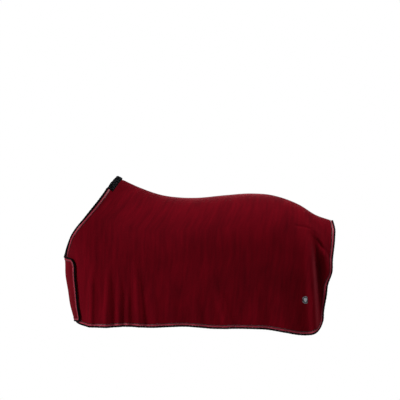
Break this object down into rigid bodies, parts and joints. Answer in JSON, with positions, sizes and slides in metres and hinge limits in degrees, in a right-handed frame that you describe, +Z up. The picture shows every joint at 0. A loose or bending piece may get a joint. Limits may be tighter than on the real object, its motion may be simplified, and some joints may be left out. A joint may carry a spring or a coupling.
{
  "type": "fleece horse rug",
  "caption": "Burgundy fleece horse rug shaped over a horse, with satin and piped edges, a plush withers pad and overlapping chest flaps that close with hook and loop.",
  "frame": {"origin": "on the horse's back, at the underside of the spine seam where the back is lowest", "axes": "+X from chest to tail, +Y to the off (right) side, +Z up"},
  "size_m": [1.7521, 0.6136, 1.017],
  "materials": {
    "burgundy_fleece": "soft brushed fleece",
    "satin_binding": "satin ribbon",
    "black_piping": "covered cord",
    "black_plush": "curly plush pile",
    "seam_tape": "woven tape",
    "hook_and_loop": "hook and loop tape",
    "gunmetal_badge": "cast and brushed"
  },
  "bodies": {
    "root": {"near_side_panel": "burgundy_fleece", "off_side_panel": "burgundy_fleece", "near_hem_binding": "satin_binding", "off_hem_binding": "satin_binding", "near_hem_piping": "black_piping", "off_hem_piping": "black_piping", "near_neck_binding": "satin_binding", "off_neck_binding": "satin_binding", "near_neck_piping": "black_piping", "off_neck_piping": "black_piping", "spine_seam_tape": "seam_tape", "withers_pad": "black_plush", "badge_plate": "gunmetal_badge", "badge_washer": "gunmetal_badge"},
    "near_flap": {"near_chest_flap": "burgundy_fleece", "near_flap_binding": "satin_binding", "near_flap_piping": "black_piping", "upper_hook_patch": "hook_and_loop", "lower_hook_patch": "hook_and_loop"},
    "off_flap": {"off_chest_flap": "burgundy_fleece", "off_flap_binding": "satin_binding", "off_flap_piping": "black_piping", "upper_loop_patch": "hook_and_loop", "lower_loop_patch": "hook_and_loop"}
  },
  "joints": [
    {"name": "off_flap_hinge", "type": "hinge", "parent": "root", "child": "off_flap", "pos_m": [-0.65975, 0.25599, 0], "axis": [0, 0, -1], "range_deg": [0, 95]},
    {"name": "near_flap_hinge", "type": "hinge", "parent": "root", "child": "near_flap", "pos_m": [-0.65975, -0.25599, 0], "axis": [0, 0, 1], "range_deg": [0, 43]}
  ],
  "couplings": [
    {"joint": "near_flap_hinge", "follows": "off_flap_hinge", "ratio": 0.45}
  ]
}
